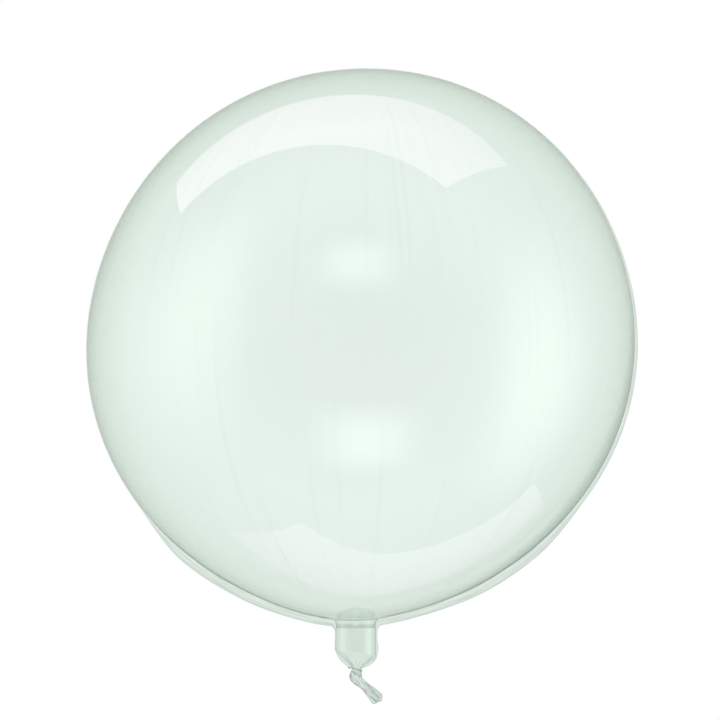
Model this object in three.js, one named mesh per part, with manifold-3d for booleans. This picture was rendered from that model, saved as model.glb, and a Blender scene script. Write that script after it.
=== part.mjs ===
// A clear bubble balloon, blown up, knotted and lying on its back. Two round sheets of clear stretch film are
// welded face to face round their edge and along a short neck. Air stretches them into an almost round ball,
// and the weld stands out round it as a thin flat flange, widest beside the neck, where the film stretched
// least. The end of the neck is gathered and knotted on itself, and its cut end is a short pleated tail. All
// of that is one film, so it is one solid.
//
// Millimetres, +Z up. The origin is the middle of the small flat spot that the balloon rests on. The flange
// lies level at half the balloon's height, and the neck points along -Y.
import * as THREE from "three";
import { mergeVertices } from "three/addons/utils/BufferGeometryUtils.js";
import Module from "manifold-3d";

// The ball
const BALL_RADIUS = 230; // across the flange
const BALL_DEPTH = 223; // half its thickness, because the two sheets stretch a little less than round
const REST_RADIUS = 24; // the flat spot that the soft film presses where it rests
const LEAN = 0.0097; // share of the radius that the film gave more on one diagonal than on the other
const PINCH = 0.0025; // share of the radius that the weld draws in beside the neck
const NECK_PULL = 0.0135; // share of the radius by which the ball runs out towards the neck
const NECK_PULL_SPREAD = 0.25; // angle from the neck at which that has mostly died away

// The welded flange
const WELD_THICKNESS = 1;
const WELD_AT_NECK = 5.8; // width where the flange meets the neck
const WELD_SHOULDER = 7.1; // width on the drawn-in shoulders beside the neck
const WELD_SIDE = 3.4; // width on the side where the film gave less
const WELD_LEAST = 0.5; // width round the rest of the ball

// The neck, with distances measured from the middle of the ball
const NECK_ASIDE = -4; // the neck hangs a little to one side
const NECK_RADIUS = 16.7;
const NECK_START = 214; // inside the ball
const CREASE_AT = 240; // the soft fold across the neck, level with the flange's outer edge
const CREASE_DEPTH = 0.5;
const GATHER_START = 258;
const GATHER_END = 274;
const THROAT_RADIUS = 3.9;
const RIM_RADIUS = 17.8; // half the width of the neck over its weld rims
const RIM_GROWTH = 1.2; // what the rims gain where the film is gathered
const RIM_END = 276;
const FILLET = 4.5; // where the flange runs out into the neck's rims
const FILLET_START = 239;
const FILLET_LENGTH = 6;
const PLEATS = 9;
const PLEAT_DEPTH = 0.16; // share of the radius, at the throat

// The knot and the tail
const KNOT_AT = new THREE.Vector3(-3.9, -282.6, 0);
const STRAND_RADIUS = 2.3; // the gathered film where it wraps round itself
const TAIL_AT = new THREE.Vector3(-5.3, -281.8, 0); // its root, folded into the knot
const TAIL_TURN = THREE.MathUtils.degToRad(44); // from -Y towards +X
const TAIL_LENGTH = 28;
const TAIL_BULGE = 3; // the middle of the cut end stands past its corners
const TAIL_HALF_WIDTHS = [2.4, 5.9]; // at the root and at the cut end
const TAIL_SPREAD = 1.35; // above 1, the fan opens faster towards its end
const TAIL_HALF_DEPTHS = [3, 1.7];
const TAIL_PLEATS = 7;

// How finely the round forms are divided
const BALL_SIDES = 84;
const BALL_ROWS = 16; // on each side of the flange
const NECK_SIDES = 36;

const CENTRE_HEIGHT = BALL_DEPTH * Math.sqrt(1 - (REST_RADIUS / BALL_RADIUS) ** 2);

const wasm = await Module();
wasm.setup();

// A closed three.js geometry as a solid that can be joined
function solid(geometry) {
  const bare = geometry.clone();
  bare.deleteAttribute("normal");
  bare.deleteAttribute("uv");
  const merged = mergeVertices(bare, 1e-4);
  return new wasm.Manifold(
    new wasm.Mesh({
      numProp: 3,
      vertProperties: merged.attributes.position.array,
      triVerts: new Uint32Array(merged.index.array),
    }),
  );
}

// A joined solid as a three.js geometry
function geometryOf(joined) {
  const mesh = joined.getMesh();
  const geometry = new THREE.BufferGeometry();
  geometry.setAttribute("position", new THREE.BufferAttribute(mesh.vertProperties, 3));
  geometry.setIndex(new THREE.BufferAttribute(mesh.triVerts, 1));
  geometry.computeVertexNormals();
  return geometry;
}

// Moves every vertex of a geometry to where place puts it
function reshape(geometry, place) {
  const positions = geometry.attributes.position;
  const point = new THREE.Vector3();
  for (let i = 0; i < positions.count; i++) {
    point.fromBufferAttribute(positions, i);
    place(point);
    positions.setXYZ(i, point.x, point.y, point.z);
  }
  return geometry;
}

// 1 up to full, 0 from none on, and smooth between
const fade = (value, full, none) => 1 - THREE.MathUtils.smoothstep(value, full, none);

// How far the film gave at an angle from the neck, as a share of the ball's radius
function give(angle) {
  const pinched = Math.cos(4 * angle) + Math.cos(5 * angle);
  const pulled = Math.exp(-((angle / NECK_PULL_SPREAD) ** 2));
  return 1 - LEAN * Math.sin(2 * angle) + PINCH * pinched + NECK_PULL * pulled;
}

// The flange's width at an angle from the neck, positive towards +X
function weldWidth(angle) {
  const away = THREE.MathUtils.radToDeg(Math.abs(angle));
  const rest = angle > 0 ? WELD_LEAST + (WELD_SIDE - WELD_LEAST) * fade(away, 60, 150) : WELD_LEAST;
  const nearNeck = WELD_SHOULDER - (WELD_SHOULDER - WELD_AT_NECK) * fade(away, 12, 26);
  return rest + (nearNeck - rest) * fade(away, 38, 55);
}

// The ball with its flange: half an ellipse turned round the middle, whose rings then follow the film's give
function ball() {
  const half = WELD_THICKNESS / 2;
  const profile = [new THREE.Vector2(0, -CENTRE_HEIGHT)];
  const row = (height) => new THREE.Vector2(BALL_RADIUS * Math.sqrt(1 - (height / BALL_DEPTH) ** 2), height);
  const lowest = Math.asin(CENTRE_HEIGHT / BALL_DEPTH);
  for (let i = 0; i < BALL_ROWS; i++) {
    profile.push(row(-BALL_DEPTH * Math.sin(lowest * (1 - i / BALL_ROWS))));
  }
  profile.push(row(-half));
  profile.push(new THREE.Vector2(BALL_RADIUS + WELD_SHOULDER, -half));
  profile.push(new THREE.Vector2(BALL_RADIUS + WELD_SHOULDER, half));
  profile.push(row(half));
  for (let i = 1; i < BALL_ROWS; i++) {
    profile.push(row(BALL_DEPTH * Math.sin((Math.PI / 2) * (i / BALL_ROWS))));
  }
  profile.push(new THREE.Vector2(0, BALL_DEPTH));
  const turned = new THREE.LatheGeometry(profile, BALL_SIDES).rotateX(Math.PI / 2);
  return reshape(turned, (point) => {
    const radius = Math.hypot(point.x, point.y);
    if (radius < 1) return;
    const angle = Math.atan2(point.x, -point.y);
    const share = Math.min(1, radius / BALL_RADIUS);
    const film = BALL_RADIUS * share * (1 + (give(angle) - 1) * share ** 2);
    const flange = radius > BALL_RADIUS + half ? weldWidth(angle) : 0;
    point.x *= (film + flange) / radius;
    point.y *= (film + flange) / radius;
  });
}

// Half the neck's width at a distance from the middle of the ball, gathered from full down to the throat
function gathered(distance, full, end) {
  const drawn = THREE.MathUtils.clamp((distance - GATHER_START) / (end - GATHER_START), 0, 1);
  return THROAT_RADIUS + (full - THROAT_RADIUS) * (1 - drawn ** 2);
}

// The blown-up part of the neck: a tube with one soft crease, whose end is pleated into the throat
function neckTube() {
  const rows = [NECK_START, 232, 238, CREASE_AT, 242, 250, 258, 261, 264, 267, 270, 272.5, 275, 281];
  const profile = rows.map((distance) => {
    const crease = CREASE_DEPTH * fade(Math.abs(distance - CREASE_AT), 0, 2);
    return new THREE.Vector2(gathered(distance, NECK_RADIUS, GATHER_END) - crease, distance);
  });
  profile.unshift(new THREE.Vector2(0, rows[0]));
  profile.push(new THREE.Vector2(0, rows.at(-1)));
  const turned = new THREE.LatheGeometry(profile, NECK_SIDES).rotateX(Math.PI);
  return reshape(turned, (point) => {
    const deep = PLEAT_DEPTH * THREE.MathUtils.smoothstep(-point.y, GATHER_START, GATHER_END);
    const pleat = 1 + deep * Math.cos(PLEATS * Math.atan2(point.z, point.x));
    point.set(point.x * pleat + NECK_ASIDE, point.y, point.z * pleat);
  });
}

// The weld along both sides of the neck: one flat plate in the flange's plane, with fillets at the flange
function neckRims() {
  const halfWidth = (distance) => {
    const intoFlange = Math.max(0, 1 - (distance - FILLET_START) / FILLET_LENGTH);
    const grown = RIM_RADIUS + RIM_GROWTH * THREE.MathUtils.smoothstep(distance, 248, 260);
    return gathered(distance, grown, RIM_END) + FILLET * Math.min(1, intoFlange) ** 2;
  };
  const rows = [];
  for (let distance = 229; distance < RIM_END; distance += distance < 239 ? 5 : 2) rows.push(distance);
  rows.push(RIM_END);
  const side = (sign) => rows.map((distance) => new THREE.Vector2(sign * halfWidth(distance), -distance));
  const outline = new THREE.Shape([...side(-1), ...side(1).reverse()]);
  const plate = new THREE.ExtrudeGeometry(outline, { depth: WELD_THICKNESS, bevelEnabled: false });
  return plate.translate(NECK_ASIDE, 0, -WELD_THICKNESS / 2);
}

// The knot: the gathered film, wrapped twice round itself and pulled tight
function knot() {
  const core = new THREE.SphereGeometry(1, 16, 12).scale(3.9, 5.6, 3.7).translate(...KNOT_AT.toArray());
  const wrap = (radius, tilt, roll, x, y) =>
    new THREE.TorusGeometry(radius, STRAND_RADIUS, 10, 20)
      .rotateX(Math.PI / 2 + THREE.MathUtils.degToRad(roll))
      .rotateZ(THREE.MathUtils.degToRad(tilt))
      .translate(KNOT_AT.x + x, KNOT_AT.y + y, 0);
  return [core, wrap(3.3, -32, 14, -0.3, 0.9), wrap(2.6, 24, -16, 1.1, -1.6)];
}

// The tail: the cut end of the film, spread from the knot like a closed fan
function tail() {
  const rows = 7;
  const profile = [new THREE.Vector2(0, 0)];
  for (let i = 0; i <= rows; i++) profile.push(new THREE.Vector2(1, (TAIL_LENGTH * i) / rows));
  profile.push(new THREE.Vector2(0, TAIL_LENGTH));
  const turned = new THREE.LatheGeometry(profile, 4 * TAIL_PLEATS).rotateX(Math.PI);
  const fan = reshape(turned, (point) => {
    const along = THREE.MathUtils.clamp(-point.y / TAIL_LENGTH, 0, 1);
    const halfWidth = THREE.MathUtils.lerp(...TAIL_HALF_WIDTHS, along ** TAIL_SPREAD);
    const halfDepth = THREE.MathUtils.lerp(...TAIL_HALF_DEPTHS, along);
    const fold = 1 + 0.3 * along * Math.cos(TAIL_PLEATS * Math.atan2(point.z, point.x));
    const bulge = TAIL_BULGE * along ** 4 * (1 - point.x ** 2);
    point.set(point.x * halfWidth, point.y - bulge, point.z * halfDepth * fold);
  });
  return fan.rotateZ(TAIL_TURN).translate(...TAIL_AT.toArray());
}

// The whole film, joined into one solid
function balloon() {
  const forms = [ball(), neckTube(), neckRims(), ...knot(), tail()];
  const joined = forms.map(solid).reduce((whole, form) => whole.add(form));
  const film = new THREE.MeshStandardMaterial({
    color: 0xdcebe1,
    roughness: 0.08,
    metalness: 0,
    transparent: true,
    opacity: 0.35,
  });
  const mesh = new THREE.Mesh(geometryOf(joined), film);
  mesh.name = "balloon";
  mesh.position.z = CENTRE_HEIGHT;
  return mesh;
}

const part = new THREE.Group();
part.add(balloon());
export default part;
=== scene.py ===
import math

import bmesh
import bpy
from mathutils import Matrix, Vector, noise


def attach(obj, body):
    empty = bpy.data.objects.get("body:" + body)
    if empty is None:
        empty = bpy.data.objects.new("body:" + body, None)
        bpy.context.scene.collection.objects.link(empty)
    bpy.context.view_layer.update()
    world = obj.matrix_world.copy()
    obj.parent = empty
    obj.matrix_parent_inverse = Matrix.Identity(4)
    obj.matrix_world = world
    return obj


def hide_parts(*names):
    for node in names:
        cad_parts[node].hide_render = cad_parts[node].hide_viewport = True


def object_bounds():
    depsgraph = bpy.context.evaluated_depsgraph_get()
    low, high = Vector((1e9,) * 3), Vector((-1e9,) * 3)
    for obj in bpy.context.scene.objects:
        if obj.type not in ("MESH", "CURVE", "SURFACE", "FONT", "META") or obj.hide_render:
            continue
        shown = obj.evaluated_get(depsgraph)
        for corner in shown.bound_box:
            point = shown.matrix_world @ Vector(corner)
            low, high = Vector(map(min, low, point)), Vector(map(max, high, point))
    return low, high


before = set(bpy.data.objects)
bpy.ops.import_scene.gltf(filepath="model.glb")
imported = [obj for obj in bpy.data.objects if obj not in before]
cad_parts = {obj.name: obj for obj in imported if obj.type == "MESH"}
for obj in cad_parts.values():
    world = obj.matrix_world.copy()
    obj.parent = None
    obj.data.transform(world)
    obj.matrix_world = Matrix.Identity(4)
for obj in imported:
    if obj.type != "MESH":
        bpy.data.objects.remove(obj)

cad_low, cad_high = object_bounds()

# The blown-up bag. Two sheets of clear stretch film, about 0.1 mm thick, are drawn out by the air inside
# into one ball, and the same two sheets run on below as a neck tube that is gathered in to a throat.
MM = 0.001
BALL_RADIUS = 230 * MM
BALL_DEPTH = 223 * MM
FILM_THICKNESS = 0.15 * MM
# Shares of the radius by which the ball leans over, is pinched in and is pulled out round its neck
LEAN = 0.0097
PINCH = 0.0025
NECK_PULL = 0.0135
NECK_PULL_SPREAD = 0.25
NECK_RADIUS = 17 * MM
NECK_FILLET = 3 * MM
# The neck sits a little left of the middle, the throat less so, and the film round them follows gently
NECK_ASIDE = -4.3 * MM
NECK_ASIDE_FADES = (22 * MM, 110 * MM)
THROAT_ASIDE = 0.9 * MM
THROAT_ASIDE_GROWS = (262 * MM, 274 * MM)
ROLL_HEIGHT = 1.2 * MM
ROLL_WIDTH = 16 * MM
CREASE_AT = 239 * MM
CREASE_DEPTH = 0.5 * MM
CREASE_WIDTH = 1.3 * MM
GATHER_START = 261.6 * MM
GATHER_LAG = 2.9 * MM
GATHER_END = 274.2 * MM
THROAT_RADIUS = 3.9 * MM
THROAT_END = 275 * MM
PLEATS = 9
PLEAT_DEPTH = 0.12
PLEATS_CLOSER_ASIDE = 0.3
PUCKER_DEPTH = 0.25 * MM
PUCKER_REACH = 7 * MM
PUCKER_LEVEL = 0.4
PUCKERS_PER_RADIAN = 38
PUCKERS_FADE = (math.radians(35), math.radians(75))
DRIFT_SIZE = 90 * MM
DRAW_LINE_SPACING = BALL_RADIUS / 26
DRAW_LINE_DRIFT = 0.1
DRAW_LINE_DEPTH = 0.004 * MM
# How dense the neck's film is over this span below the ball's middle, top 0, bottom 1, with painted fold
# shade
NECK_DENSITY_AND_FOLD_SHADE_SPAN = (230 * MM, 250 * MM)
# The darker band from 0.34 to 0.54 is painted shade along the fold across the neck, on top of the denser film
NECK_DENSITY_AND_FOLD_SHADE = ((0.10, "#FFFFFF"), (0.26, "#F6F7F6"), (0.34, "#F6F7F6"), (0.38, "#EAEDEB"),
                (0.46, "#E8EBE9"), (0.51, "#DBE0DD"), (0.54, "#F6F7F6"), (1.0, "#F6F7F6"))
ROUND_STEPS = 144
BALL_ROWS = 130
ROWS_CLOSER_AT_NECK = 0.55
FILLET_ROWS = 6
ROW_LENGTH = 1 * MM
ON_BALL = 1.0001
middle = Vector((0, 0, cad_high.z - BALL_DEPTH))


def smooth(value, low, high):
    """0 up to low, 1 from high on, and an even S between them."""
    share = min(1, max(0, (value - low) / (high - low)))
    return share * share * (3 - 2 * share)


def give(angle):
    """How much the stretched film gives at this angle from the neck, as a share of the ball's radius."""
    pulled = NECK_PULL * math.exp(-(angle / NECK_PULL_SPREAD) ** 2)
    return 1 - LEAN * math.sin(2 * angle) + PINCH * (math.cos(4 * angle) + math.cos(5 * angle)) + pulled


def neck_width(distance, side):
    """The neck's half width at this distance from the ball's middle. It is drawn in to the throat sooner on
    its left side, -1, than on its right side, 1."""
    start = GATHER_START + GATHER_LAG * side
    even = min(1, max(0, (distance - start) / (GATHER_END - start)))
    drawn = (even + smooth(distance, start, GATHER_END)) / 2
    return NECK_RADIUS + (THROAT_RADIUS - NECK_RADIUS) * drawn


def film_profile(side=0):
    """The bag's half width and its distance below the ball's middle, from the crown to the throat."""
    reach = BALL_RADIUS * give(0) + NECK_FILLET
    corner = NECK_RADIUS + NECK_FILLET
    neck_start = math.sqrt(reach ** 2 - corner ** 2)
    last = math.pi - math.asin(corner / reach)
    rows = []
    for row in range(BALL_ROWS + 1):
        share = row / BALL_ROWS
        angle = last * share * (1 + ROWS_CLOSER_AT_NECK * (1 - share))
        rows.append((BALL_RADIUS * math.sin(angle), -BALL_RADIUS * math.cos(angle)))
    turn = last - math.pi / 2
    for row in range(1, FILLET_ROWS + 1):
        angle = turn * (1 - row / FILLET_ROWS)
        rows.append((corner - NECK_FILLET * math.cos(angle), neck_start - NECK_FILLET * math.sin(angle)))
    steps = math.ceil((THROAT_END - neck_start) / ROW_LENGTH)
    for row in range(1, steps + 1):
        distance = neck_start + (THROAT_END - neck_start) * row / steps
        crease = CREASE_DEPTH * math.exp(-((distance - CREASE_AT) / CREASE_WIDTH) ** 2)
        rows.append((neck_width(distance, side) - crease, distance))
    return rows


def settle(point):
    """Where a point of the evenly round bag comes to lie on the real one, seen from the ball's middle."""
    x, y, z = point
    if point.length < BALL_RADIUS * ON_BALL:
        share = min(1, math.hypot(x, y) / BALL_RADIUS)
        stretch = 1 + (give(math.atan2(x, -y)) - 1) * share ** 2
        x, y = x * stretch, y * stretch
    if y < 0:
        aside = math.hypot(x, z)
        out = min(1, max(0, (aside - NECK_RADIUS - NECK_FILLET) / ROLL_WIDTH))
        y -= ROLL_HEIGHT * math.sin(math.pi * out) ** 2 * (z / max(aside, MM)) ** 2
        x += NECK_ASIDE * (1 - smooth(aside, *NECK_ASIDE_FADES))
        x += THROAT_ASIDE * smooth(-y, *THROAT_ASIDE_GROWS)
    return Vector((x, y, z * BALL_DEPTH / BALL_RADIUS))


def pucker(point):
    """How far the film puckers in beside the weld, which doesn't stretch as the film does."""
    angle = math.atan2(point.x, -point.y)
    level = abs(point.z) / PUCKER_REACH
    held = level * math.exp(1 - level) * (1 - smooth(abs(angle), *PUCKERS_FADE))
    fold = noise.noise(Vector((angle * PUCKERS_PER_RADIAN, math.copysign(3, point.z), 0)))
    return PUCKER_DEPTH * held * (PUCKER_LEVEL + fold)


def hex_colour(text):
    """An sRGB hex colour as linear red, green, blue and a full alpha."""
    parts = [int(text[i:i + 2], 16) / 255 for i in (1, 3, 5)]
    return [p / 12.92 if p <= 0.04045 else ((p + 0.055) / 1.055) ** 2.4 for p in parts] + [1]


def add_node(tree, kind, inputs={}, **settings):
    """Adds a node with its settings. An input is a plain value or another node's output."""
    made = tree.nodes.new(kind)
    for name, value in settings.items():
        setattr(made, name, value)
    for name, value in inputs.items():
        if isinstance(value, bpy.types.NodeSocket):
            tree.links.new(value, made.inputs[name])
        else:
            made.inputs[name].default_value = value
    return made


def set_ramp(node, stops):
    """Gives a colour ramp its stops, each a share of the way and a colour."""
    elements = node.color_ramp.elements
    elements[0].position, elements[0].color = stops[0]
    elements[1].position, elements[1].color = stops[-1]
    for share, colour in stops[1:-1]:
        elements.new(share).color = colour


def new_material(name):
    """An empty material, its node tree and the tree's output node."""
    made = bpy.data.materials.new(name)
    made.use_nodes = True
    made.node_tree.nodes.clear()
    return made, made.node_tree, add_node(made.node_tree, "ShaderNodeOutputMaterial")


def new_piece(name, shape, material):
    """Turns a finished bmesh into a smooth piece in the frame, raised to the ball's middle."""
    bmesh.ops.translate(shape, vec=middle, verts=shape.verts)
    for vert in shape.verts:
        vert.co.z = max(0, vert.co.z)
    for face in shape.faces:
        face.smooth = True
    for edge in shape.edges:
        edge.smooth = not edge.is_boundary
    mesh = bpy.data.meshes.new(name)
    shape.to_mesh(mesh)
    shape.free()
    mesh.materials.append(material)
    piece = bpy.data.objects.new(name, mesh)
    bpy.context.scene.collection.objects.link(piece)
    return piece


def film_wall(piece):
    """Gives a sheet of film its thickness, inwards."""
    wall = piece.modifiers.new("film wall", "SOLIDIFY")
    wall.thickness = FILM_THICKNESS
    wall.offset = -1


def stretch_film():
    """Clear cast stretch film, blown smooth: see-through, glossy and very slightly green.
    Its tint and gloss drift a little where it is drawn thinner, and faint draw lines run from crown to neck.
    The neck hardly stretched, so its film is thicker and denser; the dark band at its fold is painted shade."""
    made, tree, output = new_material("clear stretch film")
    place = add_node(tree, "ShaderNodeTexCoord").outputs["Object"]
    drift = add_node(tree, "ShaderNodeTexNoise", {"Vector": place, "Scale": 1 / DRIFT_SIZE, "Detail": 2})
    seen = add_node(tree, "ShaderNodeVectorMath", {0: place, 1: middle}, operation="SUBTRACT").outputs[0]
    across, height, level = add_node(tree, "ShaderNodeSeparateXYZ", {0: seen}).outputs
    around = add_node(tree, "ShaderNodeMath", {0: level, 1: across}, operation="ARCTAN2").outputs[0]
    down = add_node(tree, "ShaderNodeMath", {0: height, 1: DRAW_LINE_DRIFT}, operation="MULTIPLY").outputs[0]
    lines_at = add_node(tree, "ShaderNodeCombineXYZ", {0: around, 1: down}).outputs[0]
    lines = add_node(tree, "ShaderNodeTexNoise", {"Vector": lines_at, "Detail": 1,
                     "Scale": BALL_RADIUS / DRAW_LINE_SPACING})
    even = add_node(tree, "ShaderNodeMix", {0: drift.outputs["Fac"], 6: hex_colour("#F7FEFA"),
                    7: hex_colour("#F9FFFB")}, data_type="RGBA")
    line = add_node(tree, "ShaderNodeMapRange", {"Value": lines.outputs["Fac"], "From Min": 0.58,
                    "From Max": 0.82})
    drawn = add_node(tree, "ShaderNodeMix", {0: line.outputs["Result"], 6: even.outputs[2],
                     7: hex_colour("#F5FCF8")}, data_type="RGBA")
    down_neck = add_node(tree, "ShaderNodeMapRange", {"Value": height, "From Min": -NECK_DENSITY_AND_FOLD_SHADE_SPAN[0],
                         "From Max": -NECK_DENSITY_AND_FOLD_SHADE_SPAN[1]})
    dense_neck_and_fold_shade = add_node(tree, "ShaderNodeValToRGB", {0: down_neck.outputs["Result"]})
    set_ramp(dense_neck_and_fold_shade, [(share, hex_colour(colour)) for share, colour in NECK_DENSITY_AND_FOLD_SHADE])
    tint = add_node(tree, "ShaderNodeMix", {0: 1.0, 6: drawn.outputs[2], 7: dense_neck_and_fold_shade.outputs[0]},
                    data_type="RGBA", blend_type="MULTIPLY")
    gloss = add_node(tree, "ShaderNodeMapRange", {"Value": lines.outputs["Fac"], "From Min": 0.3,
                     "From Max": 0.7, "To Min": 0.02, "To Max": 0.03})
    waves = add_node(tree, "ShaderNodeBump", {"Height": lines.outputs["Fac"], "Strength": 0.3,
                     "Distance": DRAW_LINE_DEPTH})
    film = add_node(tree, "ShaderNodeBsdfPrincipled", {"Base Color": tint.outputs[2],
                    "Roughness": gloss.outputs["Result"], "IOR": 1.5, "Transmission Weight": 1.0,
                    "Normal": waves.outputs["Normal"]})
    tree.links.new(film.outputs[0], output.inputs["Surface"])
    return made


bag = bmesh.new()
profile = [bag.verts.new((width, -distance, 0)) for width, distance in film_profile()]
spine = [bag.edges.new(pair) for pair in zip(profile, profile[1:])]
bmesh.ops.spin(bag, geom=profile + spine, cent=(0, 0, 0), axis=(0, 1, 0), dvec=(0, 0, 0),
               angle=2 * math.pi, steps=ROUND_STEPS, use_merge=True, use_duplicate=False)
bmesh.ops.remove_doubles(bag, verts=bag.verts, dist=0.001 * MM)
for vert in bag.verts:
    radius = math.hypot(vert.co.x, vert.co.z)
    around = math.atan2(vert.co.z, vert.co.x)
    if -vert.co.y > GATHER_START - GATHER_LAG:
        radius += neck_width(-vert.co.y, math.cos(around)) - neck_width(-vert.co.y, 0)
    around -= PLEATS_CLOSER_ASIDE * math.sin(2 * around)
    deep = PLEAT_DEPTH * smooth(-vert.co.y, GATHER_START, GATHER_END)
    radius *= 1 + deep * math.cos(PLEATS * around)
    vert.co = Vector((radius * math.cos(around), vert.co.y, radius * math.sin(around)))
for vert in bag.verts:
    sunk = pucker(vert.co) / max(vert.co.length, NECK_RADIUS)
    vert.co = settle(vert.co) * (1 - sunk)
bmesh.ops.recalc_face_normals(bag, faces=bag.faces)
film = new_piece("film_bag", bag, stretch_film())
film_wall(film)
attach(film, "root")
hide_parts("balloon")

# The weld: beyond its inner line the two sheets are sealed face to face. It stands out round the ball as a
# thin flat flange, widest beside the neck, and runs on down both sides of the neck as a narrow rim.
WELD_AT_NECK = 5.8 * MM
WELD_SHOULDER = 7.1 * MM
WELD_SIDE = 3.4 * MM
WELD_LEAST = 0.5 * MM
# Degrees round the ball from the neck in which the flange widens, narrows again and ends at the side
SHOULDER_GROWS = (12, 26)
SHOULDER_ENDS = (38, 55)
SIDE_ENDS = (60, 150)
WELD_THICKNESS = 0.12 * MM
WELD_WAVE = 0.35 * MM
WELD_WAVES_PER_CM = 0.9
WELD_GAP = 0.04 * MM
RIM_END = 275 * MM
RIM_GROWS = (248 * MM, 260 * MM)
RIM_DRAWN_FROM = 258 * MM
# Left and right of the neck: the rim's half width, its growth lower down and its share drawn in at once
RIMS = {-1: (17.4 * MM, 0.5 * MM, 0.45), 1: (18.2 * MM, 1.1 * MM, 0.2)}
WEB_WIDTH = 4.5 * MM
WEB_BELOW_FLANGE = 0.5 * MM
WEB_END = 245 * MM
UV_UNIT = 10 * MM
SEAL_LINE_SIZE = UV_UNIT / 1.5
PUCKER_SIZE = UV_UNIT / 3
PUCKER_HEIGHT = 0.1 * MM
# How dense the sealed film is, from the ball, 0, to the cut edge, 1
SEAL_DENSITY = ((0.0, "#F2F9F4"), (0.45, "#EDF5EF"), (0.75, "#E6F0E9"), (1.0, "#DBE8DF"))
BALL_STATIONS = 260
WEB_STATIONS = 12
NECK_STATIONS = 40
WELD_CUTS = 5


def weld_width(angle):
    """How far the flange stands out at this angle from the neck, which is positive towards +X."""
    away = abs(math.degrees(angle))
    rest = WELD_LEAST
    if angle > 0:
        rest += (WELD_SIDE - WELD_LEAST) * (1 - smooth(away, *SIDE_ENDS))
    shoulder = WELD_AT_NECK + (WELD_SHOULDER - WELD_AT_NECK) * smooth(away, *SHOULDER_GROWS)
    return rest + (shoulder - rest) * (1 - smooth(away, *SHOULDER_ENDS))


def even_points(line, count):
    """So many points spaced evenly along a line of points, its two ends among them."""
    lengths = [0]
    for first, second in zip(line, line[1:]):
        lengths.append(lengths[-1] + (second - first).length)
    points = []
    piece = 0
    for step in range(count):
        target = lengths[-1] * step / (count - 1)
        while piece < len(line) - 2 and lengths[piece + 1] < target:
            piece += 1
        share = (target - lengths[piece]) / max(lengths[piece + 1] - lengths[piece], 1e-9)
        points.append(line[piece].lerp(line[piece + 1], min(1, share)))
    return points


def weld_edges(side):
    """Inner and outer edge of the weld on one side, in equally many points from the crown to the throat."""
    reach, growth, sooner = RIMS[side]
    rows = [(width, distance) for width, distance in film_profile(side) if distance <= RIM_END]
    seam = [settle(Vector((side * width, -distance, 0))) for width, distance in rows]
    root = min(i for i, (width, distance) in enumerate(rows) if distance > 0 and width < reach + WEB_WIDTH)
    web_end = min(i for i, (width, distance) in enumerate(rows) if distance > WEB_END)
    flange = [point + point.normalized() * weld_width(math.atan2(point.x, -point.y))
              for point in seam[:root + 1]]
    rim = []
    for width, distance in rows[web_end:]:
        full = reach + growth * smooth(distance, *RIM_GROWS)
        drawn = max(0, (distance - RIM_DRAWN_FROM) / (RIM_END - RIM_DRAWN_FROM))
        width = full + (THROAT_RADIUS - full) * (sooner * drawn + (1 - sooner) * drawn ** 4)
        aside = NECK_ASIDE + THROAT_ASIDE * smooth(distance, *THROAT_ASIDE_GROWS)
        rim.append(Vector((side * width + aside, -distance, 0)))
    corner = Vector((rim[0].x, flange[-1].y - WEB_BELOW_FLANGE, 0))
    web = []
    for step in range(WEB_STATIONS + 1):
        share = step / WEB_STATIONS
        web.append(flange[-1].lerp(corner, share).lerp(corner.lerp(rim[0], share), share))
    near = [point + point.normalized() * WELD_GAP for point in seam[:root + 1]]
    near += [point + Vector((side * WELD_GAP, 0, 0)) for point in seam[root + 1:]]
    inner = even_points(near[:root + 1], BALL_STATIONS)[:-1]
    inner += even_points(near[root:web_end + 1], WEB_STATIONS)[:-1]
    inner += even_points(near[web_end:], NECK_STATIONS)
    outer = even_points(flange, BALL_STATIONS)[:-1]
    outer += even_points(web, WEB_STATIONS)[:-1]
    outer += even_points(rim, NECK_STATIONS)
    return inner, outer


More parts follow.
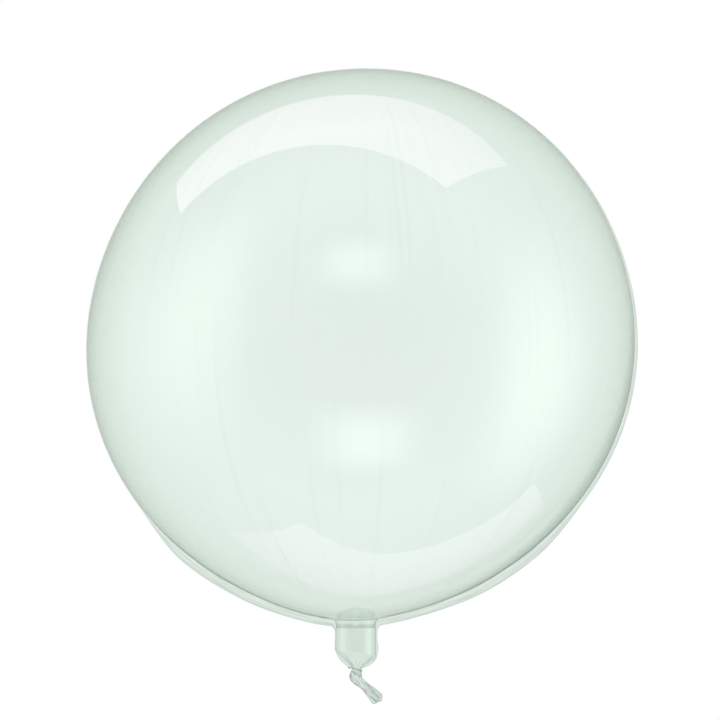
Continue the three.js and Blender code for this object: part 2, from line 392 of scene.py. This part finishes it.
def sealed_film():
    """Two film layers heat-sealed into one: a little denser than the bag, denser still towards the cut edge,
    with the fine lines that the hot sealing bar leaves along it and faint puckers across it. Its UV map runs
    along it in centimetres, and across it from 0 at the ball to 1 at the cut edge."""
    made, tree, output = new_material("heat-sealed film")
    along, across, _ = add_node(tree, "ShaderNodeSeparateXYZ",
                                {0: add_node(tree, "ShaderNodeTexCoord").outputs["UV"]}).outputs
    place = add_node(tree, "ShaderNodeCombineXYZ", {0: along, 1: across}).outputs[0]
    running = add_node(tree, "ShaderNodeMapping", {"Vector": place, "Scale": (0.2, 7, 1)})
    lines = add_node(tree, "ShaderNodeTexNoise", {"Vector": running.outputs[0], "Detail": 1,
                     "Scale": UV_UNIT / SEAL_LINE_SIZE})
    spread = add_node(tree, "ShaderNodeMapping", {"Vector": place, "Scale": (1, 0.25, 1)})
    puckers = add_node(tree, "ShaderNodeTexNoise", {"Vector": spread.outputs[0], "Detail": 2,
                       "Scale": UV_UNIT / PUCKER_SIZE})
    bands = add_node(tree, "ShaderNodeValToRGB", {0: across})
    set_ramp(bands, [(share, hex_colour(colour)) for share, colour in SEAL_DENSITY])
    line = add_node(tree, "ShaderNodeMapRange", {"Value": lines.outputs["Fac"], "From Min": 0.35,
                    "From Max": 0.6})
    dark = add_node(tree, "ShaderNodeMix", {0: line.outputs["Result"], 6: hex_colour("#E3EAE5"),
                    7: hex_colour("#FBFDFC")}, data_type="RGBA")
    tint = add_node(tree, "ShaderNodeMix", {0: 1.0, 6: bands.outputs[0], 7: dark.outputs[2]},
                    data_type="RGBA", blend_type="MULTIPLY")
    waves = add_node(tree, "ShaderNodeBump", {"Height": puckers.outputs["Fac"], "Strength": 0.3,
                     "Distance": PUCKER_HEIGHT})
    film = add_node(tree, "ShaderNodeBsdfPrincipled", {"Base Color": tint.outputs[2], "Roughness": 0.12,
                    "IOR": 1.5, "Transmission Weight": 1.0, "Normal": waves.outputs["Normal"]})
    tree.links.new(film.outputs[0], output.inputs["Surface"])
    return made


left_inner, left_outer = weld_edges(-1)
right_inner, right_outer = weld_edges(1)
inner_line = left_inner[:0:-1] + right_inner
outer_line = left_outer[:0:-1] + right_outer
seal = bmesh.new()
line = [seal.verts.new(point) for point in inner_line]
edges = [seal.edges.new(pair) for pair in zip(line, line[1:])]
grown = bmesh.ops.extrude_edge_only(seal, edges=edges)["geom"]
inner_at = {vert: index for index, vert in enumerate(line)}
outer_at = {}
for vert in (item for item in grown if isinstance(item, bmesh.types.BMVert)):
    outer_at[vert] = min(range(len(line)), key=lambda i: (vert.co - inner_line[i]).length_squared)
run = [0]
for first, second in zip(inner_line, inner_line[1:]):
    run.append(run[-1] + (second - first).length / UV_UNIT)
unwrapped = seal.loops.layers.uv.new("along and across")
for face in seal.faces:
    for corner in face.loops:
        if corner.vert in outer_at:
            corner[unwrapped].uv = (run[outer_at[corner.vert]], 1)
        else:
            corner[unwrapped].uv = (run[inner_at[corner.vert]], 0)
ribs = [edge for edge in seal.edges if (edge.verts[0] in outer_at) != (edge.verts[1] in outer_at)]
for vert, index in outer_at.items():
    vert.co = outer_line[index]
bmesh.ops.subdivide_edges(seal, edges=ribs, cuts=WELD_CUTS, use_grid_fill=True)
for face in seal.faces:
    for corner in face.loops:
        along, across = corner[unwrapped].uv
        wave = noise.noise(Vector((along * WELD_WAVES_PER_CM, across, 5)))
        corner.vert.co.z = WELD_WAVE * across * wave
bmesh.ops.recalc_face_normals(seal, faces=seal.faces)
weld = new_piece("weld_flange", seal, sealed_film())
sheet = weld.modifiers.new("two sealed sheets", "SOLIDIFY")
sheet.thickness = WELD_THICKNESS
sheet.offset = 0
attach(weld, "root")
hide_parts("balloon")

# The knot and the tail: below the throat the gathered film is folded over as one thick pleated strand, which
# opens out into a short fan at its cut end. A thin tight turn of the same film goes round the throat.
# Along the strand: across, down from the ball's middle, half width and half depth, in mm
STRAND_PATH = ((-3.4, 274.7, 3.95, 3.6), (-3.7, 278, 4.5, 3.4), (-4.5, 281.3, 5.1, 3.2),
               (-2.6, 284.6, 4.4, 2.9), (0.3, 287.2, 3.7, 2.4), (3.8, 290, 3.6, 1.9),
               (7.8, 293.9, 4.6, 1.4), (14.2, 300.4, 5.9, 0.8))
STRAND_FOLDS = 7
STRAND_FOLD_DEPTHS = (0.22, 0.7)
STRAND_FOLDS_CLOSER_ASIDE = 1.1
STRAND_EDGE_RIPPLE = 0.3
STRAND_OPENS_FROM = 0.5
STRAND_TWIST = 2.2
STRAND_STEPS = 144
STRAND_ROWS = 110
HEADING_REACH = 0.06
TAIL_HEADING = math.radians(-45)
CUT_BULGE = 3 * MM
CUT_BULGES_FROM = 0.8
CUT_RIPPLE = 0.25
CUT_RIPPLES = 5
CREASE_SIZE = 2 * MM
CREASE_HEIGHT = 0.2 * MM
TURN_AT = Vector((-4.9 * MM, -275.4 * MM, 0))
TURN_RADIUS = 5.5 * MM
TURN_HALF_THICKNESS = (0.2 * MM, 0.8 * MM)
TURN_FLATNESS = 0.6
TURN_ROLL = math.radians(-15)
TURN_SECTION_STEPS = 20
TURN_STEPS = 64


def path_at(along):
    """The strand's place, half width and half depth at this share of its path, on an even curve."""
    spans = len(STRAND_PATH) - 1
    span = min(int(along * spans), spans - 1)
    share = along * spans - span
    points = (STRAND_PATH[max(span - 1, 0)], STRAND_PATH[span], STRAND_PATH[span + 1],
              STRAND_PATH[min(span + 2, spans)])
    across, down, half_width, half_depth = (
        (b + 0.5 * share * (c - a + share * (2 * a - 5 * b + 4 * c - d + share * (3 * (b - c) + d - a)))) * MM
        for a, b, c, d in zip(*points))
    return Vector((across, -down, 0)), half_width, half_depth


def bunched_film(name, tint, rough):
    """Several layers of the same film pressed together: still clear, but denser, duller and creased."""
    made, tree, output = new_material(name)
    place = add_node(tree, "ShaderNodeTexCoord").outputs["Object"]
    along = add_node(tree, "ShaderNodeMapping", {"Vector": place, "Rotation": (0, 0, TAIL_HEADING),
                     "Scale": (5, 1, 1)}, vector_type="TEXTURE")
    creases = add_node(tree, "ShaderNodeTexNoise", {"Vector": along.outputs[0], "Scale": 1 / CREASE_SIZE,
                       "Detail": 2})
    share = add_node(tree, "ShaderNodeMapRange", {"Value": creases.outputs["Fac"], "From Min": 0.36,
                     "From Max": 0.56})
    colour = add_node(tree, "ShaderNodeMix", {0: share.outputs["Result"], 6: hex_colour(tint),
                      7: hex_colour("#F2F7F4")}, data_type="RGBA")
    dull = add_node(tree, "ShaderNodeMapRange", {"Value": creases.outputs["Fac"], "From Min": 0.3,
                    "From Max": 0.7, "To Min": rough, "To Max": 2 * rough})
    folds = add_node(tree, "ShaderNodeBump", {"Height": creases.outputs["Fac"], "Strength": 0.5,
                     "Distance": CREASE_HEIGHT})
    film = add_node(tree, "ShaderNodeBsdfPrincipled", {"Base Color": colour.outputs[2],
                    "Roughness": dull.outputs["Result"], "IOR": 1.5, "Transmission Weight": 1.0,
                    "Normal": folds.outputs["Normal"]})
    tree.links.new(film.outputs[0], output.inputs["Surface"])
    return made


folded = bmesh.new()
bmesh.ops.create_circle(folded, segments=STRAND_STEPS, radius=1)
end_edges = list(folded.edges)
for row in range(STRAND_ROWS):
    grown = bmesh.ops.extrude_edge_only(folded, edges=end_edges)["geom"]
    fresh = [item for item in grown if isinstance(item, bmesh.types.BMVert)]
    end_edges = [item for item in grown if isinstance(item, bmesh.types.BMEdge) and item.is_boundary]
    bmesh.ops.translate(folded, verts=fresh, vec=(0, 0, 1))
for vert in folded.verts:
    along = vert.co.z / STRAND_ROWS
    around = math.atan2(vert.co.y, vert.co.x)
    centre, half_width, half_depth = path_at(along)
    ahead = path_at(min(1, along + HEADING_REACH))[0]
    heading = (ahead - path_at(max(0, along - HEADING_REACH))[0]).normalized()
    sideways = Vector((-heading.y, heading.x, 0))
    opened = smooth(along, STRAND_OPENS_FROM, 1)
    deep = STRAND_FOLD_DEPTHS[0] + (STRAND_FOLD_DEPTHS[1] - STRAND_FOLD_DEPTHS[0]) * opened
    closer = STRAND_FOLDS_CLOSER_ASIDE * math.sin(2 * around)
    fold = 1 + deep * math.cos(STRAND_FOLDS * around + STRAND_TWIST * along + closer)
    aside = math.cos(around) * (1 + STRAND_EDGE_RIPPLE * (fold - 1) * (1 - opened))
    cut = CUT_BULGE * smooth(along, CUT_BULGES_FROM, 1) * (1 - aside ** 2)
    cut *= 1 + CUT_RIPPLE * math.sin(CUT_RIPPLES * aside)
    level = half_depth * math.sin(around) * fold
    vert.co = centre + sideways * half_width * aside + heading * cut + Vector((0, 0, level))
bmesh.ops.recalc_face_normals(folded, faces=folded.faces)
strand = new_piece("knot_and_tail", folded, bunched_film("pleated film", "#CAD5CE", 0.06))
film_wall(strand)

tight = bmesh.new()
thin, thick = TURN_HALF_THICKNESS
ring = bmesh.ops.create_circle(tight, segments=TURN_SECTION_STEPS, radius=1)["verts"]
bmesh.ops.translate(tight, verts=ring, vec=(TURN_RADIUS / thick, 0, 0))
bmesh.ops.rotate(tight, verts=ring, cent=(0, 0, 0), matrix=Matrix.Rotation(math.pi / 2, 3, "X"))
bmesh.ops.spin(tight, geom=ring + list(tight.edges), cent=(0, 0, 0), axis=(0, 0, 1), dvec=(0, 0, 0),
               angle=2 * math.pi, steps=TURN_STEPS, use_merge=True, use_duplicate=False)
for vert in tight.verts:
    around = math.atan2(vert.co.y, vert.co.x)
    off_line = math.hypot(vert.co.x, vert.co.y) - TURN_RADIUS / thick
    half = thin + (thick - thin) * math.cos(around) ** 4
    reach = TURN_RADIUS + off_line * half
    vert.co = Vector((reach * math.cos(around), TURN_FLATNESS * vert.co.z * half, reach * math.sin(around)))
bmesh.ops.rotate(tight, verts=tight.verts, cent=(0, 0, 0), matrix=Matrix.Rotation(TURN_ROLL, 3, "Z"))
bmesh.ops.translate(tight, verts=tight.verts, vec=TURN_AT)
bmesh.ops.recalc_face_normals(tight, faces=tight.faces)
# The turn's near-black tint is painted shade of the deep fold where it wraps the throat, not a denser film
turn = new_piece("knot_turn", tight, bunched_film("tight turn of film in painted fold shade", "#2A372F", 0.12))
# The ball's gloss would mirror the thin strand as a stray streak, so mirrored rays pass it by
strand.visible_glossy = False
for piece in (strand, turn):
    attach(piece, "root")
    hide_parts("balloon")

# The floor: a plain white sheet, evenly lit from below, just under the small flat spot that the balloon
# rests on.
FLOOR_RADIUS = 6.0
FLOOR_GAP = 0.5 * MM
FLOOR_WHITE = "#FFFFFF"


def lit_floor():
    """Evenly bright white. What the film mirrors is the studio's own lights, so those rays pass it."""
    made, tree, output = new_material("plain white floor")
    glow = add_node(tree, "ShaderNodeEmission", {"Color": hex_colour(FLOOR_WHITE), "Strength": 1.0})
    clear = add_node(tree, "ShaderNodeBsdfTransparent")
    depth = add_node(tree, "ShaderNodeLightPath").outputs["Glossy Depth"]
    mirrored = add_node(tree, "ShaderNodeMath", {0: depth, 1: 0.5}, operation="GREATER_THAN")
    mix = add_node(tree, "ShaderNodeMixShader", {0: mirrored.outputs[0], 1: glow.outputs[0],
                   2: clear.outputs[0]})
    tree.links.new(mix.outputs[0], output.inputs["Surface"])
    made.cycles.emission_sampling = "NONE"
    return made


def stage_piece(name, shape, material):
    """Turns a finished bmesh into a piece of the studio, which isn't part of the balloon."""
    mesh = bpy.data.meshes.new(name)
    shape.to_mesh(mesh)
    shape.free()
    mesh.materials.append(material)
    made = bpy.data.objects.new(name, mesh)
    bpy.context.scene.collection.objects.link(made)


ground = bmesh.new()
bmesh.ops.create_circle(ground, cap_ends=True, segments=64, radius=FLOOR_RADIUS)
bmesh.ops.translate(ground, vec=(0, 0, -FLOOR_GAP), verts=ground.verts)
stage_piece("floor", ground, lit_floor())

# The studio: soft panels that only the film's gloss picks up. The large softbox stands far off behind the
# crown and is made twice, once for each wall of the ball, because the real ball is no perfect ellipsoid.
# Small panels at both sides and in front give soft glows.
SOFTBOX_FRONT = {"place": (-2.652, 6.827, -2.996), "across": (0.921, -0.088, 0.379),
                 "up": (-0.380, 0.001, 0.925), "width": 15.11, "height": 4.80}
SOFTBOX_BACK = {"place": (-1.942, 6.583, -3.835), "across": (0.9079, 0.0289, 0.4182),
                "up": (-0.4145, 0.2110, 0.8852), "width": 11.87, "height": 4.32}
SIDE_PANEL = {"place": (1.05, -0.32, 0.50), "across": (0, 1, 0), "up": (0, 0, 1),
              "width": 2.7, "height": 1.5}
LEFT_PANEL = {"place": (-1.05, 0.05, 0.32), "across": (0, 1, 0), "up": (0, 0, 1),
              "width": 2.0, "height": 1.3}
FRONT_PANEL = {"place": (0.03, -0.60, 1.04), "across": (1, 0, 0), "up": (0, 0.83, 0.64),
               "width": 1.0, "height": 0.62}
GLOW_COLOUR = "#F7FFF4"
# A ray that the nearer wall mirrors passes fewer film surfaces than this on its way to a light, and one that
# the wall beyond mirrors passes more
FILM_PASSES = 3.0


def panel_light(name, radiance, colour, bottom=None, feather_across=1.0, feather_up=1.0, wall="both"):
    """A soft light that only mirrored rays see, in one colour or changing to another at its bottom, fading
    towards its edges. It can be kept to what the film's nearer wall mirrors, "front", or the wall beyond,
    "back"."""
    made, tree, output = new_material(name)
    across, up, _ = add_node(tree, "ShaderNodeSeparateXYZ",
                             {0: add_node(tree, "ShaderNodeTexCoord").outputs["UV"]}).outputs
    shares = []
    for share, feather in ((across, feather_across), (up, feather_up)):
        out = add_node(tree, "ShaderNodeMath", {0: share, 1: 2.0, 2: -1.0}, operation="MULTIPLY_ADD")
        out = add_node(tree, "ShaderNodeMath", {0: out.outputs[0]}, operation="ABSOLUTE")
        edge = add_node(tree, "ShaderNodeMapRange", {"Value": out.outputs[0], "From Min": 1.0,
                        "From Max": 1.0 - feather, "To Min": 0.0, "To Max": 1.0},
                        interpolation_type="SMOOTHSTEP")
        shares.append(edge.outputs["Result"])
    path = add_node(tree, "ShaderNodeLightPath").outputs
    mirrored = add_node(tree, "ShaderNodeMath", {0: path["Glossy Depth"], 1: 0.5}, operation="GREATER_THAN")
    shares.append(mirrored.outputs[0])
    if wall != "both":
        side = "LESS_THAN" if wall == "front" else "GREATER_THAN"
        passed = add_node(tree, "ShaderNodeMath", {0: path["Transmission Depth"], 1: FILM_PASSES},
                          operation=side)
        shares.append(passed.outputs[0])
    level = radiance
    for share in shares:
        level = add_node(tree, "ShaderNodeMath", {0: share, 1: level}, operation="MULTIPLY").outputs[0]
    glow = add_node(tree, "ShaderNodeEmission", {"Color": hex_colour(colour), "Strength": level})
    if bottom:
        lower = add_node(tree, "ShaderNodeMapRange", {"Value": up, "From Min": 0.8, "From Max": 0.0})
        mixed = add_node(tree, "ShaderNodeMix", {0: lower.outputs["Result"], 6: hex_colour(colour),
                         7: hex_colour(bottom)}, data_type="RGBA")
        tree.links.new(mixed.outputs[2], glow.inputs["Color"])
    clear = add_node(tree, "ShaderNodeBsdfTransparent")
    both = add_node(tree, "ShaderNodeAddShader", {0: glow.outputs[0], 1: clear.outputs[0]})
    tree.links.new(both.outputs[0], output.inputs["Surface"])
    made.cycles.emission_sampling = "NONE"
    return made


def panel(name, material, place, across, up, width, height):
    """A flat panel round a place, with its width along one direction and its height along another."""
    across = Vector(across).normalized()
    out = across.cross(Vector(up)).normalized()
    turn = Matrix((across, out.cross(across), out)).transposed().to_4x4()
    shape = bmesh.new()
    shape.loops.layers.uv.new("across and up")
    bmesh.ops.create_grid(shape, x_segments=1, y_segments=1, size=0.5, calc_uvs=True,
                          matrix=Matrix.Translation(place) @ turn @ Matrix.Diagonal((width, height, 1, 1)))
    stage_piece(name, shape, material)


panel("softbox_front", panel_light("softbox light, nearer wall", 1.28, "#FFD4EA", bottom="#C49CB8",
      feather_across=0.01, feather_up=0.02, wall="front"), **SOFTBOX_FRONT)
panel("softbox_back", panel_light("softbox light, wall beyond", 0.92, "#FFDCF0", bottom="#B878A8",
      feather_across=0.01, feather_up=0.02, wall="back"), **SOFTBOX_BACK)
panel("side_panel", panel_light("side panel light", 0.95, GLOW_COLOUR), **SIDE_PANEL)
panel("left_panel", panel_light("left panel light", 0.5, GLOW_COLOUR), **LEFT_PANEL)
panel("front_panel", panel_light("front panel light", 1.5, GLOW_COLOUR, feather_up=0.9), **FRONT_PANEL)

# The room that the film's gloss picks up. It is dark behind the camera, grows brighter towards the floor, and
# has a slightly darker corner low down at the front on the right. All other rays see a white backdrop.
# The shades run from straight down, 0, to straight up, 1.
ROOM_SHADES = ((0.0, 0.71), (0.15, 0.61), (0.32, 0.47), (0.475, 0.41), (0.6, 0.40), (0.7, 0.36),
               (0.8, 0.26), (0.86, 0.17), (0.96, 0.06), (1.0, 0.02))
ROOM_COLOUR = "#F4FFF4"
BACKDROP_WHITE = "#FFFFFF"
DARK_CORNER = (0.30, -0.19, -0.935)
DARK_CORNER_EDGE = (0.965, 0.998)
DARK_CORNER_SHADE = 0.78

world = bpy.data.worlds.new("studio room")
bpy.context.scene.world = world
world.use_nodes = True
world.node_tree.nodes.clear()
tree = world.node_tree
heading = add_node(tree, "ShaderNodeTexCoord").outputs["Generated"]
toward = add_node(tree, "ShaderNodeSeparateXYZ", {0: heading})
height = add_node(tree, "ShaderNodeMapRange", {"Value": toward.outputs["Z"], "From Min": -1.0})
shades = add_node(tree, "ShaderNodeValToRGB", {0: height.outputs["Result"]})
set_ramp(shades, [(share, (shade, shade, shade, 1)) for share, shade in ROOM_SHADES])
near_corner = add_node(tree, "ShaderNodeVectorMath", {0: heading, 1: DARK_CORNER}, operation="DOT_PRODUCT")
lit = add_node(tree, "ShaderNodeMapRange", {"Value": near_corner.outputs["Value"],
               "From Min": DARK_CORNER_EDGE[0], "From Max": DARK_CORNER_EDGE[1], "To Min": 1.0,
               "To Max": DARK_CORNER_SHADE}, interpolation_type="SMOOTHSTEP")
shade = add_node(tree, "ShaderNodeMath", {0: shades.outputs[0], 1: lit.outputs["Result"]},
                 operation="MULTIPLY")
room = add_node(tree, "ShaderNodeBackground", {"Color": hex_colour(ROOM_COLOUR),
                "Strength": shade.outputs[0]})
backdrop = add_node(tree, "ShaderNodeBackground", {"Color": hex_colour(BACKDROP_WHITE), "Strength": 1.0})
depth = add_node(tree, "ShaderNodeLightPath").outputs["Glossy Depth"]
mirrored = add_node(tree, "ShaderNodeMath", {0: depth, 1: 0.5}, operation="GREATER_THAN")
mix = add_node(tree, "ShaderNodeMixShader", {0: mirrored.outputs[0], 1: backdrop.outputs[0],
               2: room.outputs[0]})
add_node(tree, "ShaderNodeOutputWorld", {"Surface": mix.outputs[0]})
world.cycles.sampling_method = "NONE"
bpy.context.scene.view_settings.view_transform = "Standard"

# The camera looks straight down on the lying balloon through a long lens, with the neck towards the
# bottom of the picture.
CAMERA_HEIGHT = 8.0
VIEW_WIDTH = 606.2 * MM
VIEW_ASIDE = -0.7 * MM
VIEW_BELOW = -15.0 * MM
SENSOR = 36.0
SEES_TO = 40.0

camera = bpy.data.cameras.new("camera")
camera.sensor_width = SENSOR
camera.lens = SENSOR * CAMERA_HEIGHT / VIEW_WIDTH
camera.clip_end = SEES_TO
viewer = bpy.data.objects.new("camera", camera)
viewer.location = middle + Vector((VIEW_ASIDE, VIEW_BELOW, CAMERA_HEIGHT))
bpy.context.scene.collection.objects.link(viewer)
bpy.context.scene.camera = viewer
